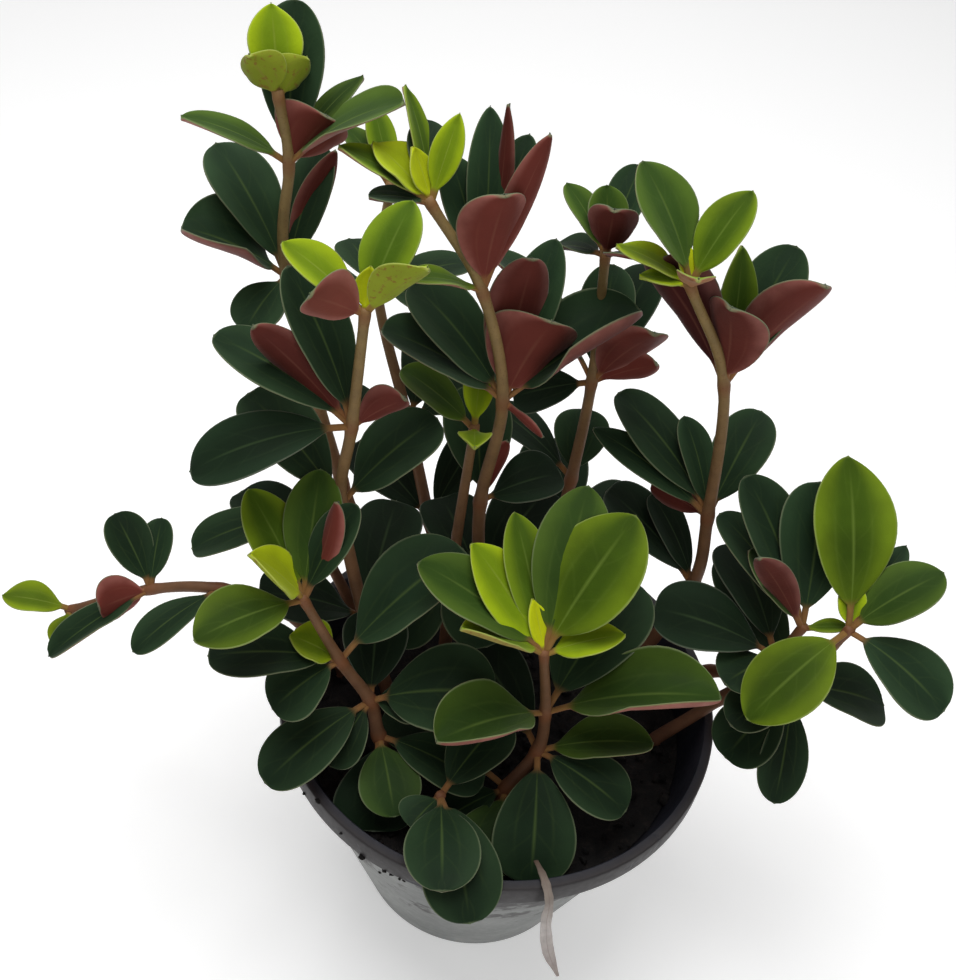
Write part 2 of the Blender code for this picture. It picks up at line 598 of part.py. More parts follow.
def main():
    for old in list(bpy.data.objects):
        bpy.data.objects.remove(old, do_unlink=True)
    paint = {name: material(name, *values) for name, values in COLOURS.items()}

    pot = add_object("pot", pot_shape())
    combine(pot, drain_cutters(), "DIFFERENCE")
    pot.data.materials.append(paint["pot"])
    pot.data.shade_smooth()
    pot.data.set_sharp_from_angle(angle=math.radians(30))

    soil = add_object("soil", soil_shape())
    combine(soil, root_cutters(), "DIFFERENCE")
    soil.data.materials.append(paint["soil"])

    leaves = settled_leaves()
    for name, (points, _) in SHOOTS.items():
        shoot = add_object(name, stem_tube(points))
        # The exact solver leaves open edges where many stalks meet at one node.
        combine(shoot, [leaf_shape(base, leaf) for base, leaf in leaves[name]], "UNION", "MANIFOLD")
        shoot.data.materials.append(paint["shoot"])

    dry = add_object("withered_leaf", dry_shape())
    dry.data.materials.append(paint["withered_leaf"])


main()
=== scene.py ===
"""The finished look of a potted double duty peperomia.

Every leaf is a closed rod carried onto the curved surface of its blade, and every stem is one
carried onto its path. The plant's design is in millimetres, and the scene is in metres. The
pot stands on z = 0, round the Z axis, and its front faces -Y.
"""
import math
import random
from collections import namedtuple

import bmesh
import bpy
import numpy as np
from mathutils import Matrix, Vector


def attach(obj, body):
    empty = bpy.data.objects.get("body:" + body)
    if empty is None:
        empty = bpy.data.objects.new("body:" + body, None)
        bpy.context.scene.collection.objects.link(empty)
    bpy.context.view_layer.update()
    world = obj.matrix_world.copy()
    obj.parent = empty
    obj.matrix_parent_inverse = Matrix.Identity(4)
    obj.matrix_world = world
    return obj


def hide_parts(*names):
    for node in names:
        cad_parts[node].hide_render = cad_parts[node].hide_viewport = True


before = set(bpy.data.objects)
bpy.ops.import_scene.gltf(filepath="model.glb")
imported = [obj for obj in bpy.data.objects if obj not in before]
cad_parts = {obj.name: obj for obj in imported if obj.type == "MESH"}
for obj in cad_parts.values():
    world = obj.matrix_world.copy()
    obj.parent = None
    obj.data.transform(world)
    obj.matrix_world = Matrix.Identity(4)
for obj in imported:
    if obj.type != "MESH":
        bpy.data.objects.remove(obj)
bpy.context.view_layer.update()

MM = 0.001

# Camera, from the ellipse of the pot's rim
CAMERA_PLACE = (-13.0, -195.0, 342.0)
CAMERA_PITCH = 43.5
CAMERA_ROLL = 7.8
FOCAL_PIXELS = 1154.0
PICTURE_HEIGHT = 980.0
SENSOR = 36.0

# Pot and soil
POT_HEIGHT = 84.0
RIM_RADIUS = 60.0
BASE_RADIUS = 34.5
WALL = 1.6
FLOOR = 2.0
LIP_HEIGHT = 7.0
LIP_STEP = 1.2
GAP = 0.3
SOIL_TOP = 70.0
SOIL_EDGE = 4.0
TURNED_SIDES = 128
WALL_RINGS = 11
INNER_RINGS = 8
SOIL_RINGS = 44
RING_RISE = 0.001
DRAIN_HOLES = 6
DRAIN_RADIUS = 3.5
DRAIN_CIRCLE = 27.0
DRAIN_SIDES = 32
DRAIN_DEPTH = 8.0

# Crumbs of mix, loose on the surface, and dried on the rim and the wall at the front left
CRUMB_SEED = 7
CRUMB_LUMPS = 0.28
LOOSE_CRUMBS = 420
LOOSE_CIRCLE = 53.0
LOOSE_SIZES = (0.4, 1.5)
LOOSE_GRADING = 1.3
DRIED_CRUMBS = 34
DRIED_AZIMUTH = -118.0
DRIED_SPREAD = 17.0
DRIED_FALL = 14.0
DRIED_SIZES = (0.5, 0.9)
DRIED_GRADING = 2.0

# Withered leaf, over the front of the rim
DRY_PATH = ((13.5, -50.0, 82.4), (15.0, -54.5, 84.9), (16.2, -58.0, 85.3), (17.3, -60.5, 82.5),
            (18.0, -60.8, 72.0), (20.5, -60.5, 58.0), (25.0, -60.0, 43.5))
DRY_HALF_WIDTHS = (0.6, 1.0, 1.2, 1.2, 1.5, 1.9, 0.5)
DRY_SPANS = 10
DRY_SIDES = 24
DRY_RINGS = 60
DRY_HALF_HEIGHT = 0.3
DRY_CRUMPLE = 0.12

# Stems
ROOT_FOOT = 58.0
COLLAR = 72.5
STEM_ROOT_RADIUS = 2.1
STEM_TIP_RADIUS = 1.1
STEM_BUD = 1.5
STEM_SPANS = 8
STEM_SIDES = 16
STEM_RINGS = 90
KNOT_SWELL = 0.22
KNOT_REACH = 2.2
KNOT_FADE = 4.0
YOUNG_RISE = 130.0

# Leaves
STALK_SHARE = 0.14
STALK_HALF_WIDTH = 0.85
STALK_HALF_HEIGHT = 0.65
STALK_SINK = 0.5
WIDEST = 0.5
FOOT_POWER = 0.85
SHARP_TIP = 0.95
TIP_ROUNDING = 0.11
BROAD = 0.5
CUP_ONSET = 2.5
RIB_HALF_HEIGHT = 0.55
EDGE_HALF_HEIGHT = 0.34
ARC_STEPS = 120
LEAF_SIDES = 30
LEAF_RINGS = 28
END_CROWDING = 0.6
OLDEST = 5.0

# Veins, as shares of a blade's half width, and the relief round them in millimetres
VEIN_HALF_WIDTH = 0.06
SIDE_VEIN = 0.46
FURROW = 0.22
PILLOW = 0.10

# Edge waves: their height as a share of the width, and how fast they follow each other
RIPPLE_HEIGHTS = (0.015, 0.045)
RIPPLE_RATES = (6.0, 9.0)
RIPPLE_TWIST = 0.8

# Heights in metres: where the painted shade on the leaves fades out going up, where the pot turns black,
# where smears set in
LEAF_PAINTED_SHADE = (0.075, 0.190)
POT_BLACK = (0.058, 0.066)
SMEAR_HEIGHT = 0.048

# Stage, in metres
FLOOR_SIZE = 6.0
SKY_STRENGTH = 0.28
LAMP_AIM = (0.0, 0.0, 0.12)

# A leaf's direction is its azimuth, from +X towards +Y, and its lift above the horizontal.
# Roll turns it about its length, arch bends its tip down, and cup turns up its two halves.
# Age runs from 0, a bud, to 5, one of the oldest leaves. Angles are in degrees.
Leaf = namedtuple("Leaf", "azimuth lift length width roll arch cup age")

# Each stem is a list of points from the soil up, the first without its height, and its whorls
# run from the tip down: the first grows at the last point, the second at the one before it.
SHOOTS = {
    "shoot_front": (
        [(4, -30), (5, -28, 78), (11.5, -22, 88), (11.5, -20, 102), (8, -20, 125)],
        [[(52, 47, 40, 24, 0, 25, 15, 2), (144, 36, 32, 17, 0, 20, 25, 1),
          (115, 38, 35, 13, 0, 20, 25, 2), (11, 20, 20, 11, 0, 25, 30, 1),
          (-167, 28, 24, 14, 10, 25, 60, 1.5), (121, 50, 14, 6, 0, 10, 30, 0),
          (167, 28, 38, 18, 0, 30, 25, 3), (80, 43, 42, 18, 0, 30, 15, 3)],
         [(3, 17, 44, 25, -8, 35, 70, 3), (-145, 14, 33, 23, 5, 35, 70, 3),
          (60, 25, 42, 24, 0, 30, 20, 4)],
         [(3, 15, 30, 15, 0, 35, 50, 3), (-86, -29, 33, 21, 0, 40, 15, 4),
          (-29, -5, 27, 17, 0, 35, 20, 4), (128, 12, 33, 18, 0, 35, 20, 5)],
         [(-99, -17, 23, 19, 0, 35, 20, 3.5), (153, 2, 39, 20, 0, 35, 20, 4),
          (-151, -20, 19, 12, 0, 35, 15, 4)]]),
    "shoot_front_left": (
        [(-25, -22), (-30, -22, 85), (-33, -20, 97), (-41, -20, 112), (-50, -20, 133)],
        [[(137, 40, 29, 14, 0, 30, 20, 2), (91, 44, 31, 14, 0, 30, 20, 3),
          (-169, 53, 20, 14, 0, 20, 45, 0.5), (63, 62, 26, 8, 160, 25, 35, 4),
          (56, 48, 26, 11, 0, 30, 25, 4), (-143, 0, 27, 18, 0, 30, 30, 2.5)],
         [(-166, 8, 32, 18, 0, 35, 30, 4), (41, 31, 41, 22, 0, 35, 40, 4),
          (-139, -20, 20, 17, 0, 35, 20, 4), (174, 22, 14, 14, 0, 20, 50, 1)],
         [(-133, -12, 33, 17, 0, 35, 15, 4), (0, 18, 33, 25, 10, 45, 20, 4),
          (4, -8, 13, 13, 0, 30, 25, 4), (-115, -26, 19, 12, 0, 30, 20, 4),
          (95, 32, 23, 16, 0, 30, 20, 5)],
         [(-16, -8, 30, 16, 0, 35, 20, 4), (-70, -12, 22, 16, 0, 35, 20, 3.5),
          (-84, -32, 24, 20, 0, 35, 15, 5)]]),
    "shoot_front_low": (
        [(-14, -34), (-12, -38, 86)],
        [[(-83, 9, 28, 18, 0, 40, 15, 4), (-70, -8, 32, 19, 0, 75, 0, 4),
          (-125, -6, 11, 12, 0, 35, 15, 4), (56, 20, 26, 16, 0, 35, 20, 4)]]),
    "shoot_right_front": (
        [(44, 14), (50, 12.5, 82), (58, 10.5, 90), (66, 7, 94), (77, 0, 101), (84, 0, 126)],
        [[(101, 45, 44, 22, 0, 30, 15, 2), (21, 40, 27, 16, 0, 30, 20, 3),
          (-37, -11, 29, 21, 0, 35, 15, 4), (-140, -30, 34, 20, 0, 35, 10, 2),
          (95, 45, 13, 8, 0, 10, 35, 1), (56, 25, 28, 8, 0, 30, 20, 4)],
         [(122, 16, 40, 17, 0, 35, 20, 4), (-141, -5, 22, 14, 0, 35, 30, 4),
          (-137, -40, 26, 18, 0, 35, 15, 4), (-93, -43, 31, 13, 0, 35, 15, 4),
          (4, -11, 27, 20, 0, 35, 20, 4)]]),
    "shoot_right_inner": (
        [(46, -2), (60, 0, 92), (70, 2, 110), (74, 3, 121)],
        [[(130, 42, 42, 18, 0, 30, 20, 4), (-169, 55, 33, 9, 70, 25, 30, 4),
          (148, 38, 25, 13, 0, 25, 25, 3.5),
          (93, 50, 38, 20, 0, 30, 20, 4), (136, 24, 36, 15, 0, 35, 20, 4),
          (4, 10, 12, 5, 0, 20, 30, 2)],
         [(169, 8, 34, 22, 0, 35, 20, 5), (110, 15, 34, 18, 0, 35, 20, 5),
          (-141, 0, 18, 15, 0, 30, 20, 4)]]),
    "shoot_trailing_left": (
        [(-45, 8), (-60, 3, 100), (-76, 0, 109), (-95, 0, 105), (-118, 0, 92)],
        [[(-172, 15, 18, 11, 0, 25, 30, 1.5), (-100, -25, 11, 7, 0, 20, 30, 1.5)],
         [(136, 44, 22, 12, 0, 25, 30, 4), (90, 42, 19, 9, 0, 25, 35, 4),
          (-144, -24, 31, 11, 0, 25, 50, 4), (-141, 2, 14, 14, 105, 25, 30, 4)],
         [(-134, -15, 27, 11, 0, 35, 20, 4)]]),
    "shoot_middle_left": (
        [(-30, 0), (-38, 0, 105), (-45, 0, 146), (-43, 0, 171), (-41, 0, 202)],
        [[(164, 30, 22, 13, 0, 20, 25, 1), (64, 50, 25, 13, 0, 25, 20, 2),
          (88, 63, 10, 6, 0, 15, 30, 0), (-15, 50, 20, 12, -45, 25, 40, 1),
          (-148, 32, 14, 14, 80, 20, 35, 3.5)],
         [(142, 55, 38, 15, 0, 30, 30, 4), (-176, 50, 33, 11, 95, 30, 40, 4),
          (174, 29, 36, 17, 0, 30, 20, 4), (3, 41, 15, 10, -80, 30, 45, 4),
          (-160, -14, 37, 15, -20, 60, 20, 5)],
         [(147, 27, 35, 19, 0, 30, 20, 4), (38, 34, 31, 19, 0, 30, 20, 4)],
         [(-165, 25, 30, 18, 0, 35, 20, 5), (86, 12, 38, 18, 0, 35, 20, 5)]]),
    "shoot_low_centre": (
        [(-16, 12), (-17, 18, 110), (-16, 20, 158)],
        [[(92, 52, 19, 8, 0, 20, 25, 1), (-85, 15, 10, 9, 0, 20, 40, 1),
          (161, 26, 23, 13, 0, 25, 25, 3)],
         [(-120, -20, 27, 18, 0, 30, 25, 4), (-60, -14, 25, 20, 0, 30, 20, 4),
          (-29, 18, 30, 18, 0, 30, 25, 4)]]),
    "shoot_centre": (
        [(-5, 20), (-9, 20, 102), (-12, 20, 134), (-10, 20, 168), (-18, 20, 198), (-31, 20, 218)],
        [[(159, 32, 17, 13, 0, 20, 40, 0.6), (171, 22, 22, 10, 0, 20, 40, 2),
          (141, 58, 12, 7, 0, 10, 30, 0.3), (66, 60, 19, 7, 20, 20, 25, 1),
          (104, 40, 18, 9, 0, 20, 25, 4), (119, 44, 25, 7, 30, 20, 25, 2),
          (-168, 5, 13, 7, 0, 20, 30, 4)],
         [(-51, 82, 26, 16, -10, 25, 35, 4), (73, 56, 35, 11, 0, 25, 25, 4),
          (28, 73, 38, 8, -95, 10, 30, 4), (101, 62, 39, 10, 0, 25, 25, 4),
          (88, 71, 40, 5, 150, 25, 25, 4), (130, 55, 30, 12, 0, 25, 25, 4),
          (-150, 20, 20, 8, 0, 30, 30, 2.5)],
         [(12, 70, 25, 23, -85, 30, 35, 4), (27, 32, 39, 26, -12, 14, 75, 4),
          (180, 28, 34, 18, 0, 30, 30, 4), (76, 76, 36, 16, -140, 25, 25, 4),
          (72, 54, 40, 13, 0, 25, 25, 4), (155, 38, 35, 20, 0, 30, 20, 4),
          (-29, -20, 13, 2.5, -105, 20, 20, 4)],
         [(56, 62, 18, 6, -125, 25, 30, 4), (105, 42, 30, 18, 0, 30, 20, 4),
          (20, 18, 22, 17, 0, 30, 20, 5)],
         [(60, 25, 34, 20, 0, 35, 20, 5), (119, 12, 30, 18, 0, 35, 20, 5)]]),
    "shoot_right": (
        [(40, 24), (49.5, 25, 108), (47.5, 25, 135), (40.5, 22, 180), (26, 18, 208)],
        [[(145, 50, 28, 17, 0, 25, 20, 3), (44, 55, 23, 12, 0, 25, 25, 2),
          (125, 52, 10, 5, 0, 10, 30, 0), (166, 15, 18, 9, 0, 25, 30, 1),
          (175, 0, 11, 7, 0, 20, 30, 1), (-90, 40, 10, 9, 0, 20, 40, 2)],
         [(-125, 70, 28, 16, 0, 25, 35, 4), (57, 57, 35, 15, 0, 30, 20, 4),
          (-5, 65, 34, 17, -62, 25, 45, 4), (-179, 53, 38, 17, 60, 30, 50, 5),
          (108, 72, 33, 10, 0, 15, 25, 2.5)],
         [(143, 30, 40, 18, 0, 35, 15, 4), (121, 44, 27, 10, 0, 30, 20, 4),
          (153, 5, 17, 10, 105, 30, 45, 4), (63, 42, 31, 15, 0, 30, 25, 4),
          (161, 23, 38, 10, -20, 35, 20, 4)],
         [(134, 40, 28, 11, 0, 35, 20, 5), (154, 32, 36, 18, 0, 30, 20, 5)]]),
    "shoot_back_left": (
        [(-34, 30), (-50, 30, 125), (-64, 30, 188), (-63, 30, 217), (-65, 30, 232)],
        [[(110, 60, 18, 12, 0, 20, 35, 1), (-150, 58, 11, 11, 60, 20, 50, 1),
          (30, 50, 10, 10, -80, 20, 50, 1)],
         [(95, 66, 33, 14, 0, 25, 25, 4),
          (10, 55, 14, 18, -75, 20, 35, 4), (-1, 36, 30, 18, 0, 30, 30, 3),
          (49, 36, 25, 7, 0, 30, 20, 3), (-176, 20, 24, 10, 0, 30, 30, 3)],
         [(73, 53, 31, 12, 0, 25, 20, 4), (58, 58, 31, 8, -115, 25, 20, 4),
          (141, 42, 34, 16, 0, 30, 20, 4),
          (-170, 27, 26, 23, 0, 30, 65, 4), (-114, -22, 17, 13, 0, 35, 20, 4)],
         [(150, 20, 34, 18, 0, 35, 20, 5)]]),
    "shoot_behind_right": (
        [(10, 40), (11, 40, 98), (12, 40, 128), (12, 40, 162), (9, 40, 199)],
        [[(140, 38, 19, 9, 0, 25, 25, 3), (107, 60, 16, 10, 0, 20, 25, 3),
          (-96, 70, 16, 12, 0, 20, 40, 4), (68, 52, 22, 10, 0, 25, 25, 4),
          (135, -22, 18, 11, 0, 25, 35, 4), (-60, 30, 14, 10, 0, 25, 30, 4)],
         [(-46, 58, 29.5, 15, -35, 26, 30, 4), (-10,35, 18, 11, -75, 25, 30, 4),
          (164, 42, 42, 20, 20, 30, 30, 4), (86, 52, 30, 14, 0, 30, 20, 4),
          (60, 47, 33, 14, 0, 25, 25, 5), (178, -25, 21, 13, -25, 25, 20, 5)],
         [(146, 15, 31, 13, 0, 35, 20, 5), (84, 38, 20, 15, 0, 30, 20, 4)],
         [(100, 38, 34, 20, 0, 35, 20, 5), (35, 22, 31, 18, 0, 35, 20, 5)]]),
    "shoot_left_back": (
        [(-40, 21), (-52, 20, 105), (-58, 16, 124)],
        [[(-162, -18, 30, 15, 0, 35, 20, 4)],
         [(150, 8, 32, 17, 0, 35, 20, 5)]]),
    "shoot_back_centre": (
        [(-18, 42), (-26, 46, 98), (-35, 52, 130), (-46, 56, 170), (-44, 56, 200)],
        [[(122, 50, 20, 8, 0, 20, 25, 2), (20, 40, 14, 8, 0, 20, 30, 3),
          (150, 35, 18, 9, 0, 25, 25, 3)],
         [(121, 7, 21, 12, 0, 30, 20, 4), (-150, 20, 22, 15, 0, 30, 30, 4),
          (30, 8, 26, 13, 0, 30, 20, 4), (-8, -5, 25, 17, 0, 30, 20, 4)],
         [(80, 25, 33, 16, 0, 35, 20, 5), (172, 2, 34, 15, 0, 35, 20, 5),
          (30, 20, 32, 20, 0, 35, 20, 4)],
         [(64, 30, 32, 14, 0, 35, 20, 5), (150, 25, 32, 20, 0, 35, 20, 5)]]),
}


# Shader maths

class Value:
    """A number that changes over a surface; arithmetic on it adds Math nodes."""

    def __init__(self, finish, socket):
        self.finish = finish
        self.socket = socket

    def math(self, operation, *others):
        node = self.finish.node("ShaderNodeMath", {"operation": operation}, [self, *others])
        return Value(self.finish, node.outputs[0])

    def __add__(self, other):
        return self.math("ADD", other)

    def __radd__(self, other):
        return self.math("ADD", other)

    def __sub__(self, other):
        return self.math("SUBTRACT", other)

    def __rsub__(self, other):
        return self.math("MULTIPLY_ADD", -1.0, other)

    def __mul__(self, other):
        return self.math("MULTIPLY", other)

    def __rmul__(self, other):
        return self.math("MULTIPLY", other)

    def __truediv__(self, other):
        return self.math("DIVIDE", other)

    def __abs__(self):
        return self.math("ABSOLUTE")

    def clamped(self):
        node = self.finish.node("ShaderNodeClamp", {}, [self, 0.0, 1.0])
        return Value(self.finish, node.outputs[0])

    def rising(self, low, high):
        """Zero below low, one above high, and a soft step between."""
        node = self.finish.node("ShaderNodeMapRange", {"interpolation_type": "SMOOTHSTEP"},
                                {"Value": self, "From Min": low, "From Max": high})
        return Value(self.finish, node.outputs[0])


class Finish:
    """A material whose nodes are added one call at a time."""

    def __init__(self, name, **constants):
        self.material = bpy.data.materials.new(name)
        self.material.use_nodes = True
        self.tree = self.material.node_tree
        self.shader = self.tree.nodes["Principled BSDF"]
        for socket, value in constants.items():
            self.shader.inputs[socket.replace("_", " ")].default_value = value

    def node(self, kind, settings, values):
        """Adds a node, sets it, then sets or links its sockets, by name or in order."""
        made = self.tree.nodes.new(kind)
        for key, value in settings.items():
            setattr(made, key, value)
        pairs = values.items() if isinstance(values, dict) else enumerate(values)
        for key, value in pairs:
            self.feed(made.inputs[key], value)
        return made

    def feed(self, socket, value):
        if isinstance(value, Value):
            value = value.socket
        if isinstance(value, bpy.types.NodeSocket):
            self.tree.links.new(value, socket)
        elif isinstance(value, tuple) and len(value) == 3 and len(socket.default_value) == 4:
            socket.default_value = (*value, 1.0)
        else:
            socket.default_value = value

    def attribute(self, name):
        node = self.node("ShaderNodeAttribute", {"attribute_name": name}, [])
        return Value(self, node.outputs["Fac"])

    def split(self, vector):
        """A vector's three numbers."""
        node = self.node("ShaderNodeSeparateXYZ", {}, [vector])
        return [Value(self, socket) for socket in node.outputs]

    def uv(self):
        """The share of the way along a blade, and across it."""
        node = self.node("ShaderNodeUVMap", {"uv_map": "blade"}, [])
        return self.split(node.outputs[0])[:2]

    def place(self):
        return self.node("ShaderNodeTexCoord", {}, []).outputs["Object"]

    def height(self):
        return self.split(self.place())[2]

    def noise(self, scale, detail=3.0, roughness=0.55):
        values = {"Vector": self.place(), "Scale": scale, "Detail": detail, "Roughness": roughness}
        node = self.node("ShaderNodeTexNoise", {}, values)
        return Value(self, node.outputs[0])

    def ramp(self, value, stops):
        """A colour that follows a value through (place, colour) stops."""
        node = self.tree.nodes.new("ShaderNodeValToRGB")
        elements = node.color_ramp.elements
        while len(elements) < len(stops):
            elements.new(0.5)
        for element, (place, colour) in zip(elements, stops):
            element.position = place
            element.color = (*colour, 1.0)
        self.feed(node.inputs[0], value)
        return node.outputs[0]

    def mix(self, share, first, second):
        """Goes from the first colour to the second as the share goes from 0 to 1."""
        node = self.tree.nodes.new("ShaderNodeMix")
        node.data_type = "RGBA"
        self.feed(node.inputs[0], share)
        self.feed(node.inputs[6], first)
        self.feed(node.inputs[7], second)
        return node.outputs[2]

    def shade(self, colour, share):
        """The colour darkened or lightened by a value, 1 leaving it as it is."""
        node = self.node("ShaderNodeVectorMath", {"operation": "SCALE"}, {"Vector": colour, "Scale": share})
        return node.outputs[0]

    def bump(self, height, distance, strength):
        values = {"Strength": strength, "Distance": distance, "Height": height}
        node = self.node("ShaderNodeBump", {}, values)
        self.feed(self.shader.inputs["Normal"], node.outputs[0])

    def set(self, **values):
        for socket, value in values.items():
            self.feed(self.shader.inputs[socket.replace("_", " ")], value)


# Finishes

def line(distance, half_width):
    """One on a line and zero past its half width."""
    return (1.0 - abs(distance) / half_width).clamped()


def leaf_finish():
    """Waxy green above and red beneath, with a pale downy margin and pale veins."""
    leaf = Finish("leaf_skin", Specular_IOR_Level=0.07, Sheen_Weight=0.10, Sheen_Roughness=0.4)
    along, across = leaf.uv()
    side = abs(across * 2.0 - 1.0)
    age = leaf.attribute("age")
    tint = leaf.attribute("tint")
    upper = leaf.attribute("upper").rising(-0.06, 0.06)
    mottle = leaf.noise(260.0, 4.0)
    cloud = leaf.noise(70.0, 2.0)
    # Painted shade: leaves lower down are darker, standing in for the shade deep inside the plant
    depth = leaf.height().rising(*LEAF_PAINTED_SHADE)

    # Upper face, paler towards its edge: partly the leaf's own lighter edge, partly a painted sheen
    heart = leaf.ramp(age, [(0.0, (0.300, 0.330, 0.004)), (0.2, (0.105, 0.165, 0.004)),
                            (0.4, (0.040, 0.076, 0.004)), (0.6, (0.020, 0.043, 0.006)),
                            (0.8, (0.009, 0.021, 0.009)), (1.0, (0.005, 0.012, 0.005))])
    brim_and_sheen = leaf.ramp(age, [(0.0, (0.350, 0.390, 0.006)), (0.2, (0.230, 0.310, 0.006)),
                           (0.4, (0.115, 0.175, 0.007)), (0.6, (0.046, 0.082, 0.010)),
                           (0.8, (0.017, 0.036, 0.015)), (1.0, (0.009, 0.020, 0.009))])
    green = leaf.mix(side.rising(0.25, 0.98), heart, brim_and_sheen)
    # Paler towards the foot too, with the same lighter edge colour and painted sheen
    green = leaf.mix(along.rising(0.45, 0.12) * 0.5, green, brim_and_sheen)
    # Tint, cloud and mottle are the leaves' own tone; the height factor is painted shade
    green = leaf.shade(green, (0.40 + tint * 0.55 + cloud * 0.8 + mottle * 0.35) * (0.86 + depth * 0.28))

    # Veins
    wander = leaf.noise(55.0, 1.0) - 0.5
    middle_vein = line(side, VEIN_HALF_WIDTH) * along.rising(0.98, 0.6)
    side_vein = line(side - SIDE_VEIN + wander * 0.1, VEIN_HALF_WIDTH)
    side_vein = side_vein * along.rising(0.14, 0.2) * along.rising(0.9, 0.5)
    branches = (along * 4.0 - side * 1.5 + tint * 3.0 + wander * 1.2).math("FRACT")
    branch = line(branches - 0.5, 0.08) * side.rising(0.03, 0.1) * side.rising(0.85, 0.4)
    veins = (middle_vein * 0.45 + side_vein * 0.09 + branch * 0.05).clamped()
    vein_green = leaf.ramp(age, [(0.0, (0.36, 0.40, 0.05)), (0.4, (0.17, 0.25, 0.04)),
                                 (1.0, (0.055, 0.095, 0.035))])
    green = leaf.mix(veins, green, vein_green)

    # Underside, blushed and speckled
    red = leaf.ramp(age, [(0.0, (0.290, 0.330, 0.012)), (0.2, (0.225, 0.270, 0.020)),
                          (0.4, (0.230, 0.110, 0.050)), (0.6, (0.165, 0.048, 0.032)),
                          (0.8, (0.100, 0.021, 0.015)), (1.0, (0.050, 0.009, 0.008))])
    pale_red = leaf.mix(0.5, red, (0.40, 0.17, 0.14))
    grain = leaf.noise(150.0, 3.0)
    blush = (side.rising(0.45, 1.0) * grain * 1.3).clamped() * age.rising(0.15, 0.6)
    red = leaf.mix(blush, red, pale_red)
    red = leaf.shade(red, 0.35 + tint * 0.6 + cloud * 0.6 + grain * 0.5)
    speckle = leaf.noise(900.0, 2.0).rising(0.55, 0.68) * age.rising(0.9, 0.2)
    red = leaf.mix(speckle * 0.5, red, (0.22, 0.035, 0.025))
    red = leaf.mix((middle_vein * 0.25 + side_vein * 0.10).clamped(), red, (0.27, 0.11, 0.07))

    # Both faces, with the downy margin and the stalk
    colour = leaf.mix(upper, red, green)
    downy = (side.rising(0.94, 0.998) + along.rising(0.98, 1.0)).clamped() * along.rising(0.16, 0.26)
    margin = leaf.ramp(age, [(0.0, (0.42, 0.46, 0.10)), (0.4, (0.30, 0.38, 0.10)),
                             (0.6, (0.19, 0.24, 0.11)), (1.0, (0.13, 0.16, 0.11))])
    colour = leaf.mix(downy * 0.75, colour, margin)
    stalk = along.rising(0.20, 0.12)
    stalk_colour = leaf.mix(leaf.noise(400.0), (0.20, 0.075, 0.028), (0.30, 0.16, 0.055))
    colour = leaf.mix(stalk * 0.85, colour, stalk_colour)
    leaf.set(Base_Color=colour, Roughness=0.48 + mottle * 0.22)
    relief = mottle * 0.25 + upper * veins * -0.8 + leaf.noise(1500.0, 2.0) * 0.2
    leaf.bump(relief, 0.0004, 0.5)
    return leaf.material


def stem_finish():
    """Olive tan skin, browner low down, with orange-brown joints and fine dots."""
    stem = Finish("stem_skin", Specular_IOR_Level=0.3)
    knot = stem.attribute("knot")
    young = stem.attribute("young")
    streak = stem.noise(220.0, 3.0)
    dots = stem.noise(1700.0, 1.0).rising(0.60, 0.70)
    skin = stem.ramp(young, [(0.0, (0.115, 0.050, 0.026)), (0.5, (0.180, 0.090, 0.038)),
                             (1.0, (0.230, 0.155, 0.055))])
    skin = stem.shade(skin, 0.60 + streak * 0.8)
    skin = stem.mix(knot * 0.7, skin, (0.19, 0.065, 0.022))
    skin = stem.mix(dots * 0.35, skin, (0.13, 0.040, 0.020))
    stem.set(Base_Color=skin, Roughness=0.5 + streak * 0.2)
    stem.bump(streak * 0.6 + stem.noise(1200.0, 2.0) * 0.4, 0.0004, 0.5)
    return stem.material


def pot_finish():
    """Thin plastic, black at the lip and inside, grey lower down, smeared with dried mix."""
    pot = Finish("pot_plastic", Specular_IOR_Level=0.4)
    inside = pot.attribute("inside")
    grain = pot.noise(500.0, 3.0)
    haze = pot.noise(45.0, 4.0)
    smears = pot.noise(95.0, 5.0, 0.6)
    height = pot.height()
    black = pot.mix(haze.rising(0.35, 0.7), (0.005, 0.006, 0.012), (0.013, 0.014, 0.022))
    grey = pot.mix(haze.rising(0.3, 0.7), (0.150, 0.158, 0.152), (0.225, 0.232, 0.224))
    dark = ((height + (smears - 0.5) * 0.05).rising(*POT_BLACK) + inside).clamped()
    colour = pot.mix(dark, grey, black)
    washed = (smears + (height - SMEAR_HEIGHT) * 5.0).rising(0.50, 0.60) * (1.0 - inside)
    colour = pot.mix(washed * 0.85, colour, (0.022, 0.018, 0.018))
    pot.set(Base_Color=colour, Roughness=0.38 + grain * 0.3)
    pot.bump(grain + washed * 2.0, 0.0002, 0.4)
    return pot.material


def soil_finish():
    """Damp potting mix with brown fibres, its own dark colour deepened to nearly black by painted shade."""
    soil = Finish("potting_mix", Specular_IOR_Level=0.25)
    lumps = soil.noise(340.0, 6.0, 0.7)
    fibres = soil.noise(130.0, 4.0)
    # Painted shade: these near-black stops deepen the mix's own dark colour for the shade inside the pot
    colour = soil.ramp(lumps, [(0.3, (0.003, 0.003, 0.0035)), (0.55, (0.010, 0.0085, 0.008)),
                               (0.8, (0.034, 0.025, 0.020))])
    colour = soil.shade(colour, 0.5 + fibres)
    soil.set(Base_Color=colour, Roughness=0.75 + fibres * 0.2)
    soil.bump(lumps, 0.0012, 0.9)
    return soil.material


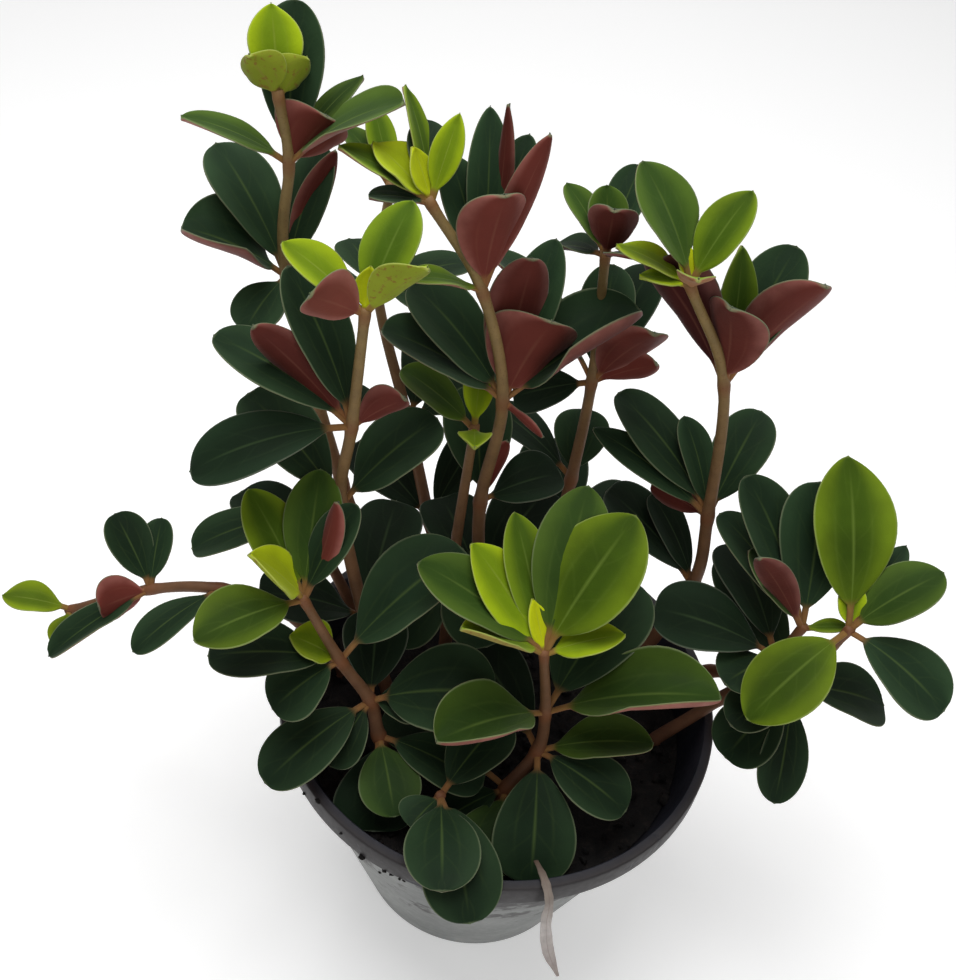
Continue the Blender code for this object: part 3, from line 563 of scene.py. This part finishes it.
def dry_finish():
    """Papery, pale and streaked along its length."""
    dry = Finish("dried_leaf", Specular_IOR_Level=0.3)
    along, across = dry.uv()
    streak = dry.noise(420.0, 4.0)
    colour = dry.ramp(along, [(0.0, (0.090, 0.060, 0.042)), (0.45, (0.250, 0.210, 0.180)),
                              (0.7, (0.500, 0.460, 0.440)), (1.0, (0.320, 0.270, 0.250))])
    colour = dry.shade(colour, 0.7 + streak * 0.6)
    colour = dry.mix(line(abs(across * 2.0 - 1.0), 0.12) * 0.4, colour, (0.16, 0.10, 0.08))
    dry.set(Base_Color=colour, Roughness=0.75 + streak * 0.2)
    dry.bump(streak, 0.0004, 0.6)
    return dry.material


def floor_finish():
    """Pale paper that glows a little, so that it stays light at its far end."""
    floor = Finish("floor_paper", Specular_IOR_Level=0.1, Emission_Color=(1.0, 1.0, 1.0, 1.0),
                   Emission_Strength=0.34)
    floor.set(Base_Color=(0.88, 0.88, 0.88), Roughness=0.9)
    return floor.material


# Rods

def deselect():
    bpy.ops.object.select_all(action="DESELECT")


def pick(*pieces):
    """Selects these pieces alone, and makes the first one active."""
    deselect()
    for piece in pieces:
        piece.select_set(True)
    bpy.context.view_layer.objects.active = pieces[0]


def rod(name, sides, rings):
    """A closed upright rod of unit radius and height, cut into rings."""
    deselect()
    bpy.ops.mesh.primitive_cylinder_add(vertices=sides, radius=1.0, depth=1.0, end_fill_type="TRIFAN",
                                        location=(0.0, 0.0, 0.5))
    made = bpy.context.active_object
    made.name = name
    bpy.ops.object.transform_apply(location=True, rotation=True, scale=True)
    bpy.ops.object.mode_set(mode="EDIT")
    bpy.ops.mesh.select_all(action="DESELECT")
    bpy.ops.mesh.select_mode(type="EDGE")
    shape = bmesh.from_edit_mesh(made.data)
    for edge in shape.edges:
        low, high = sorted(point.co.z for point in edge.verts)
        edge.select_set(high - low > 0.5)
    bmesh.update_edit_mesh(made.data)
    bpy.ops.mesh.subdivide(number_cuts=rings - 1)
    bpy.ops.object.mode_set(mode="OBJECT")
    return made


def rod_points(mesh):
    """The height of every vertex, and its two coordinates across."""
    points = np.empty(len(mesh.vertices) * 3)
    mesh.vertices.foreach_get("co", points)
    points = points.reshape(-1, 3)
    return points[:, 2].copy(), points[:, 0].copy(), points[:, 1].copy()


def set_points(mesh, points):
    """Moves the mesh's vertices to points in millimetres."""
    mesh.vertices.foreach_set("co", (np.asarray(points) * MM).ravel())
    mesh.update()


def set_attribute(mesh, name, values):
    """A number on every vertex, for the finish to read."""
    layer = mesh.attributes.new(name, "FLOAT", "POINT")
    layer.data.foreach_set("value", np.broadcast_to(values, len(mesh.vertices)).astype(np.float32))


def set_uv(mesh, along, across):
    """The blade's own map: along it from 0 to 1, and across it with the midrib at a half."""
    corners = np.empty(len(mesh.loops), dtype=np.int32)
    mesh.loops.foreach_get("vertex_index", corners)
    layer = mesh.uv_layers.new(name="blade")
    layer.data.foreach_set("uv", np.stack([along[corners], across[corners]], axis=1).ravel())


def copy_of(blank, name):
    """A copy of a blank with a mesh of its own, in the scene."""
    made = blank.copy()
    made.data = blank.data.copy()
    made.name = name
    bpy.context.scene.collection.objects.link(made)
    return made


def join(pieces, name):
    """Makes one object of several, with its faces smooth."""
    pick(*pieces)
    bpy.ops.object.join()
    made = bpy.context.active_object
    made.name = name
    made.data.name = name
    bpy.ops.object.shade_smooth()
    return made


# Leaves

def outline(share, leaf):
    """Half width of a blade at shares of its length; old, broad blades have rounder tips."""
    share = np.clip(share, 0.0, 1.0)
    breadth = min(1.0, leaf.width / leaf.length / BROAD)
    tip_power = SHARP_TIP - TIP_ROUNDING * leaf.age * breadth
    return (share / WIDEST) ** FOOT_POWER * ((1.0 - share) / (1.0 - WIDEST)) ** tip_power


def leaf_axes(leaf):
    """Unit vectors along a leaf, across it and out of its upper face."""
    azimuth = math.radians(leaf.azimuth)
    lift = math.radians(leaf.lift)
    along = Vector((math.cos(lift) * math.cos(azimuth), math.cos(lift) * math.sin(azimuth),
                    math.sin(lift)))
    across = Vector((-math.sin(azimuth), math.cos(azimuth), 0.0))
    turn = Matrix.Rotation(math.radians(leaf.roll), 3, along)
    return np.array(along), np.array(turn @ across), np.array(turn @ along.cross(across))


def midrib(leaf, along):
    """Distances along and above the chord, at shares of an arc with the leaf's arch."""
    steps = (np.arange(ARC_STEPS) + 0.5) / ARC_STEPS
    bend = math.radians(leaf.arch) * (0.5 - steps)
    run = np.concatenate([[0.0], np.cumsum(np.cos(bend))])
    rise = np.concatenate([[0.0], np.cumsum(np.sin(bend))])
    scale = leaf.length / run[-1]
    marks = np.linspace(0.0, 1.0, ARC_STEPS + 1)
    return np.interp(along, marks, run) * scale, np.interp(along, marks, rise) * scale


def leaf_piece(blank, base, leaf, chance):
    """One leaf: the blank's height runs along it, and its circle goes round its blade."""
    made = copy_of(blank, "leaf")
    mesh = made.data
    along, across, face = rod_points(mesh)
    along -= END_CROWDING * np.sin(2 * math.pi * along) / (2 * math.pi)
    forward, sideways, out = leaf_axes(leaf)
    run, rise = midrib(leaf, along)
    run -= STALK_SINK * (along < 0.001)
    bend = np.radians(leaf.arch) * (0.5 - along)
    normal = out * np.cos(bend)[:, None] - forward * np.sin(bend)[:, None]
    centre = np.array(base) + forward * run[:, None] + out * rise[:, None]

    share = (along - STALK_SHARE) / (1.0 - STALK_SHARE)
    blade = leaf.width / 2 * outline(share, leaf)
    stalk = STALK_HALF_WIDTH * (along < 0.5)
    half = np.maximum(blade, np.minimum(stalk, leaf.width / 2))
    spread = np.clip(half / STALK_HALF_WIDTH - 1.0, 0.0, 1.0)
    cup = np.radians(leaf.cup) * np.minimum(1.0, np.maximum(share, 0.0) * CUP_ONSET)
    turn = np.maximum(cup * np.abs(across), 1e-6)
    reach = half * across * np.sin(turn) / turn
    raised = half * np.abs(across) * (1.0 - np.cos(turn)) / turn

    wave = math.radians(chance.uniform(0.0, 360.0))
    ripple = chance.uniform(*RIPPLE_HEIGHTS) * leaf.width * across ** 2 * spread
    raised += ripple * np.sin(along * chance.uniform(*RIPPLE_RATES) + wave + across * RIPPLE_TWIST)
    pillow = PILLOW * np.cos(across * math.pi / SIDE_VEIN) * spread * (1.0 - across ** 2)
    furrow = -FURROW * np.exp(-(across / VEIN_HALF_WIDTH) ** 2) * spread
    raised += pillow + furrow * 0.5

    level = RIB_HALF_HEIGHT + (EDGE_HALF_HEIGHT - RIB_HALF_HEIGHT) * np.abs(across)
    height = STALK_HALF_HEIGHT + (level - STALK_HALF_HEIGHT) * spread
    rounding = np.abs(face) ** (1.0 - 0.5 * spread)
    skin = height * np.sign(face) * rounding + np.where(face > 0.0, furrow, furrow * 0.2)
    slope = cup * across
    facing = normal * np.cos(slope)[:, None] - sideways * np.sin(slope)[:, None]
    points = centre + sideways * reach[:, None] + normal * raised[:, None] + facing * skin[:, None]
    set_points(mesh, points)
    set_uv(mesh, along, across / 2 + 0.5)
    set_attribute(mesh, "upper", face)
    set_attribute(mesh, "age", leaf.age / OLDEST)
    set_attribute(mesh, "tint", chance.random())
    set_attribute(mesh, "knot", 0.0)
    set_attribute(mesh, "young", 0.0)
    return made


# Stems

def smooth_path(points, spans):
    """Points of a smooth curve through the given ones."""
    first = points[0] * 2 - points[1]
    final = points[-1] * 2 - points[-2]
    knots = [first, *points, final]
    path = []
    for index in range(1, len(knots) - 2):
        before, start, end, after = knots[index - 1:index + 3]
        for span in range(spans):
            t = span / spans
            path.append((start * 2 + (end - before) * t
                         + (before * 2 - start * 5 + end * 4 - after) * t ** 2
                         + (start * 3 - end * 3 + after - before) * t ** 3) / 2)
    return path + [points[-1]]


def read_at(levels, marks, path):
    """A path's values, known at marks, read at levels."""
    return np.stack([np.interp(levels, marks, path[:, axis]) for axis in range(3)], axis=1)


def stem_nodes(points):
    """The stem's points: straight up through the soil, then through its nodes."""
    root = points[0]
    return [Vector((*root, ROOT_FOOT)), Vector((*root, COLLAR))] + [Vector(p) for p in points[1:]]


def stem_piece(blank, points):
    """One stem, swollen a little at its joints and thinner towards its tip."""
    made = copy_of(blank, "stem")
    mesh = made.data
    share, across, face = rod_points(mesh)
    foot, *nodes = stem_nodes(points)
    path = [foot] + smooth_path(nodes, STEM_SPANS)
    path[-1] = path[-1] + (path[-1] - path[-2]).normalized() * STEM_BUD
    path = np.array(path)
    lengths = np.concatenate([[0.0], np.cumsum(np.linalg.norm(np.diff(path, axis=0), axis=1))])
    marks = lengths / lengths[-1]
    levels = np.linspace(0.0, 1.0, STEM_RINGS + 1)
    centres = read_at(levels, marks, path)
    ahead = np.gradient(centres, axis=0)
    ahead /= np.linalg.norm(ahead, axis=1)[:, None]
    sides = np.empty_like(centres)
    side = np.array([1.0, 0.0, 0.0])
    for index, direction in enumerate(ahead):
        side = side - direction * side.dot(direction)
        side /= np.linalg.norm(side)
        sides[index] = side
    others = np.cross(ahead, sides)
    radius = STEM_ROOT_RADIUS + (STEM_TIP_RADIUS - STEM_ROOT_RADIUS) * levels
    knots = np.zeros_like(levels)
    for node in nodes[1:]:
        distance = np.linalg.norm(centres - np.array(node), axis=1)
        knots = np.maximum(knots, np.exp(-(distance / KNOT_REACH) ** 2))
    above = np.clip((centres[:, 2] - COLLAR) / KNOT_FADE, 0.0, 1.0)
    radius *= 1.0 + KNOT_SWELL * knots * above
    ring = np.rint(share * STEM_RINGS).astype(int)
    points = (centres[ring] + sides[ring] * (across * radius[ring])[:, None]
              + others[ring] * (face * radius[ring])[:, None])
    set_points(mesh, points)
    set_uv(mesh, share, across / 2 + 0.5)
    set_attribute(mesh, "upper", 1.0)
    set_attribute(mesh, "age", 0.5)
    set_attribute(mesh, "tint", 0.5)
    set_attribute(mesh, "knot", knots[ring])
    set_attribute(mesh, "young", np.clip((points[:, 2] - SOIL_TOP) / YOUNG_RISE, 0.0, 1.0))
    return made


def shoot(name, points, whorls, leaf_blank, stem_blank, skins):
    """A stem with its whorls of leaves, joined, in place of the solid of the same name."""
    chance = random.Random(name)
    nodes = stem_nodes(points)
    stem = stem_piece(stem_blank, points)
    stem.data.materials.append(skins["stem"])
    pieces = [stem]
    for level, whorl in enumerate(whorls):
        for values in whorl:
            leaf = leaf_piece(leaf_blank, nodes[-1 - level], Leaf(*values), chance)
            leaf.data.materials.append(skins["leaf"])
            pieces.append(leaf)
    finish_piece(join(pieces, name.replace("shoot", "foliage")), name)


def finish_piece(piece, node):
    """Puts a piece on the body, in place of its solid."""
    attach(piece, "root")
    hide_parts(node)


# Pot, soil and withered leaf

def outer_radius(height):
    """Radius of the tapered wall's outside at a height, below the lip."""
    return BASE_RADIUS + (RIM_RADIUS - LIP_STEP - BASE_RADIUS) * height / POT_HEIGHT


def turned(name, profile):
    """A closed shape turned round Z: a disc is pushed up and resized ring by ring."""
    deselect()
    radius, height = profile[0]
    bpy.ops.mesh.primitive_circle_add(vertices=TURNED_SIDES, radius=radius * MM, fill_type="TRIFAN",
                                      location=(0.0, 0.0, height * MM))
    made = bpy.context.active_object
    made.name = name
    bpy.ops.object.transform_apply(location=True, rotation=True, scale=True)
    bpy.ops.object.mode_set(mode="EDIT")
    bpy.ops.mesh.select_all(action="SELECT")
    for (before, low), (after, high) in zip(profile, profile[1:]):
        bpy.ops.mesh.extrude_region_move(TRANSFORM_OT_translate={"value": (0.0, 0.0, (high - low) * MM)})
        share = after / before
        bpy.ops.transform.resize(value=(share, share, 1.0), center_override=(0.0, 0.0, high * MM))
    bpy.ops.mesh.select_all(action="SELECT")
    bpy.ops.mesh.normals_make_consistent(inside=False)
    bpy.ops.object.mode_set(mode="OBJECT")
    return made


def pot_piece(skin):
    """The pot: an underside, a tapered wall, a stepped lip with soft edges, and the inside."""
    foot = 1.0
    lip = POT_HEIGHT - LIP_HEIGHT
    under_lip = lip - 0.3
    inner = outer_radius(POT_HEIGHT) - WALL
    profile = [(BASE_RADIUS - 1.2, 0.0), (BASE_RADIUS - 0.4, 0.2), (outer_radius(foot), foot)]
    for step in range(1, WALL_RINGS + 1):
        level = foot + (under_lip - foot) * step / WALL_RINGS
        profile.append((outer_radius(level), level))
    profile += [(RIM_RADIUS - 0.55, lip), (RIM_RADIUS - 0.2, lip + 0.3),
                (RIM_RADIUS - 0.1, lip + 1.0), (RIM_RADIUS, POT_HEIGHT - 0.7),
                (RIM_RADIUS - 0.15, POT_HEIGHT - 0.25), (RIM_RADIUS - 0.5, POT_HEIGHT),
                (inner + 0.3, POT_HEIGHT), (inner, POT_HEIGHT - 0.3)]
    for step in range(1, INNER_RINGS):
        level = POT_HEIGHT - (POT_HEIGHT - FLOOR) * step / INNER_RINGS
        profile.append((outer_radius(level) - WALL, level))
    corner = outer_radius(FLOOR) - WALL
    profile += [(corner - 0.2, FLOOR + 0.2), (corner - 0.8, FLOOR)]
    pot = turned("pot_shell", profile)
    drain(pot)
    pick(pot)
    bpy.ops.object.shade_smooth_by_angle(angle=math.radians(35))
    z, x, y = (part / MM for part in rod_points(pot.data))
    inward = (np.hypot(x, y) < outer_radius(z) - WALL / 2) & (z > FLOOR / 2)
    set_attribute(pot.data, "inside", inward)
    pot.data.materials.clear()
    pot.data.materials.append(skin)
    finish_piece(pot, "pot")


def drain(pot):
    """Cuts a ring of drain holes through the floor."""
    cutters = []
    for index in range(DRAIN_HOLES):
        angle = 2 * math.pi * index / DRAIN_HOLES
        deselect()
        bpy.ops.mesh.primitive_cylinder_add(vertices=DRAIN_SIDES, radius=DRAIN_RADIUS * MM,
                                            depth=DRAIN_DEPTH * MM,
                                            location=(math.cos(angle) * DRAIN_CIRCLE * MM,
                                                      math.sin(angle) * DRAIN_CIRCLE * MM, 0.0))
        cutters.append(bpy.context.active_object)
    cutter = join(cutters, "drain_cutter")
    cut = pot.modifiers.new("Drain", "BOOLEAN")
    cut.operation = "DIFFERENCE"
    cut.object = cutter
    cut.solver = "EXACT"
    pick(pot)
    bpy.ops.object.modifier_apply(modifier=cut.name)
    bpy.data.objects.remove(cutter)


def mounds(x, y):
    """Height of the mix above its level, from slow swells and small lumps."""
    swell = 0.7 * np.sin(x * 0.21 + 1.0) * np.cos(y * 0.17) + 0.5 * np.sin(x * 0.53 - y * 0.47)
    lumps = 0.35 * np.sin(x * 1.31 + 0.6 * y) * np.cos(y * 1.17 - 0.4 * x)
    crumbs = 0.22 * np.sin(x * 2.9 + 1.7 * y + 2.0) * np.sin(y * 3.1 - 1.1 * x)
    return swell + lumps + crumbs


def soil_piece(skin):
    """The potting mix: a plug that fills the pot, its top cut fine and heaped."""
    side = GAP + WALL
    bottom = FLOOR + GAP
    profile = [(outer_radius(bottom) - side, bottom), (outer_radius(SOIL_TOP) - side, SOIL_TOP)]
    edge = profile[-1][0]
    for ring in range(SOIL_RINGS - 1, 0, -1):
        profile.append((edge * ring / SOIL_RINGS, SOIL_TOP + RING_RISE * (SOIL_RINGS - ring)))
    soil = turned("soil_plug", profile)
    z, x, y = (part / MM for part in rod_points(soil.data))
    fade = np.clip((edge - np.hypot(x, y)) / SOIL_EDGE, 0.0, 1.0)
    z += np.where(z > SOIL_TOP - 0.5, mounds(x, y) * fade, 0.0)
    set_points(soil.data, np.stack([x, y, z], axis=1))
    pick(soil)
    bpy.ops.object.shade_smooth_by_angle(angle=math.radians(60))
    soil.data.materials.append(skin)
    finish_piece(soil, "soil")


def loose_crumbs(chance):
    """Places and sizes of the crumbs that lie on the mix."""
    crumbs = []
    for _ in range(LOOSE_CRUMBS):
        angle = chance.uniform(0.0, 2 * math.pi)
        distance = LOOSE_CIRCLE * math.sqrt(chance.random())
        size = chance.uniform(*LOOSE_SIZES) ** LOOSE_GRADING
        x, y = distance * math.cos(angle), distance * math.sin(angle)
        z = SOIL_TOP + mounds(x, y) + size * 0.25
        crumbs.append((Vector((x, y, z)), size))
    return crumbs


def dried_crumbs(chance):
    """Places and sizes of the crumbs that have dried on the pot's outside."""
    crumbs = []
    for _ in range(DRIED_CRUMBS):
        angle = math.radians(chance.gauss(DRIED_AZIMUTH, DRIED_SPREAD))
        level = POT_HEIGHT - abs(chance.gauss(0.0, DRIED_FALL))
        reach = RIM_RADIUS if level > POT_HEIGHT - LIP_HEIGHT else outer_radius(level)
        size = chance.uniform(*DRIED_SIZES) ** DRIED_GRADING
        crumbs.append((Vector((reach * math.cos(angle), reach * math.sin(angle), level)), size))
    return crumbs


def crumb_piece(skin):
    """All the crumbs: copies of one lumpy ball, each turned and stretched its own way."""
    chance = random.Random(CRUMB_SEED)
    deselect()
    bpy.ops.mesh.primitive_ico_sphere_add(subdivisions=2, radius=1.0)
    blank = bpy.context.active_object
    for index, corner in enumerate(blank.data.vertices):
        corner.co *= 1.0 + CRUMB_LUMPS * math.sin(index * 12.9)
    copies = []
    for place, size in loose_crumbs(chance) + dried_crumbs(chance):
        crumb = copy_of(blank, "crumb")
        turn = chance.uniform(0.0, 6.28)
        spin = Matrix.Rotation(turn, 4, Vector((chance.random(), chance.random(), 1.0)))
        length = size * chance.uniform(0.7, 1.3)
        thickness = size * chance.uniform(0.5, 0.9)
        scale = Matrix.Diagonal((length, size, thickness, 1.0))
        crumb.data.transform(Matrix.Scale(MM, 4) @ Matrix.Translation(place) @ spin @ scale)
        copies.append(crumb)
    bpy.data.objects.remove(blank)
    made = join(copies, "loose_mix")
    made.data.materials.append(skin)
    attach(made, "root")


def dry_piece(skin):
    """The withered leaf: a thin crumpled strip over the rim."""
    made = rod("dry_leaf", DRY_SIDES, DRY_RINGS)
    mesh = made.data
    along, across, face = rod_points(mesh)
    path = np.array(smooth_path([Vector(point) for point in DRY_PATH], DRY_SPANS))
    marks = np.linspace(0.0, 1.0, len(path))
    centre = read_at(along, marks, path)
    ahead = read_at(along, marks, np.gradient(path, axis=0))
    outward = centre * (1.0, 1.0, 0.0)
    outward /= np.linalg.norm(outward, axis=1)[:, None]
    sideways = np.stack([-outward[:, 1], outward[:, 0], np.zeros(len(outward))], axis=1)
    normal = np.cross(sideways, ahead)
    normal /= np.linalg.norm(normal, axis=1)[:, None]
    half = np.interp(along, np.linspace(0.0, 1.0, len(DRY_HALF_WIDTHS)), DRY_HALF_WIDTHS)
    half *= 1.0 - DRY_CRUMPLE * np.abs(np.sin(along * 21.0))
    crease = 0.18 * np.cos(across * 9.0 + along * 14.0) + 0.35 * np.sin(along * 17.0) * across
    raised = crease * half / 2 + DRY_HALF_HEIGHT * np.sign(face) * np.sqrt(np.abs(face))
    set_points(mesh, centre + sideways * (half * across)[:, None] + normal * raised[:, None])
    set_uv(mesh, along, across / 2 + 0.5)
    pick(made)
    bpy.ops.object.shade_smooth()
    mesh.materials.append(skin)
    finish_piece(made, "withered_leaf")


# Stage

def stage():
    """A pale floor, a soft sky and three broad lamps."""
    deselect()
    bpy.ops.mesh.primitive_plane_add(size=FLOOR_SIZE, location=(0.0, 0.0, 0.0))
    floor = bpy.context.active_object
    floor.name = "floor"
    floor.data.materials.append(floor_finish())
    world = bpy.data.worlds.new("studio")
    world.use_nodes = True
    backdrop = world.node_tree.nodes["Background"]
    backdrop.inputs["Color"].default_value = (1.0, 1.0, 1.0, 1.0)
    backdrop.inputs["Strength"].default_value = SKY_STRENGTH
    bpy.context.scene.world = world
    lamp("top_light", (-0.10, 0.05, 0.85), 0.5, 4.6)
    lamp("front_light", (0.35, -0.70, 0.60), 0.7, 1.2)
    lamp("back_light", (0.10, 0.90, 0.80), 0.8, 1.6)


def lamp(name, place, size, watts):
    """A square lamp that faces the plant."""
    light = bpy.data.lights.new(name, "AREA")
    light.size = size
    light.energy = watts
    made = bpy.data.objects.new(name, light)
    made.location = place
    made.rotation_euler = (Vector(LAMP_AIM) - Vector(place)).to_track_quat("-Z", "Y").to_euler()
    bpy.context.scene.collection.objects.link(made)


def camera():
    """The photograph's view: from the front and above, turned a little about its line of sight."""
    pitch, roll = math.radians(CAMERA_PITCH), math.radians(CAMERA_ROLL)
    forward = Vector((0.0, math.cos(pitch), -math.sin(pitch)))
    up = Vector((0.0, math.sin(pitch), math.cos(pitch)))
    right = Vector((1.0, 0.0, 0.0))
    tilted_right = right * math.cos(roll) + up * math.sin(roll)
    tilted_up = up * math.cos(roll) - right * math.sin(roll)
    view = bpy.data.cameras.new("camera")
    view.sensor_width = SENSOR
    view.lens = SENSOR * FOCAL_PIXELS / PICTURE_HEIGHT
    view.clip_start = 0.01
    made = bpy.data.objects.new("camera", view)
    turn = Matrix((tilted_right, tilted_up, -forward)).transposed().to_4x4()
    made.matrix_world = Matrix.Translation(Vector(CAMERA_PLACE) * MM) @ turn
    bpy.context.scene.collection.objects.link(made)
    bpy.context.scene.camera = made


def main():
    bpy.context.scene.view_settings.view_transform = "Standard"
    camera()
    stage()
    skins = {"leaf": leaf_finish(), "stem": stem_finish()}
    leaf_blank = rod("leaf_blank", LEAF_SIDES, LEAF_RINGS)
    stem_blank = rod("stem_blank", STEM_SIDES, STEM_RINGS)
    for name, (points, whorls) in SHOOTS.items():
        shoot(name, points, whorls, leaf_blank, stem_blank, skins)
    for blank in (leaf_blank, stem_blank):
        bpy.data.objects.remove(blank)
    pot_piece(pot_finish())
    mix = soil_finish()
    soil_piece(mix)
    crumb_piece(mix)
    dry_piece(dry_finish())


main()
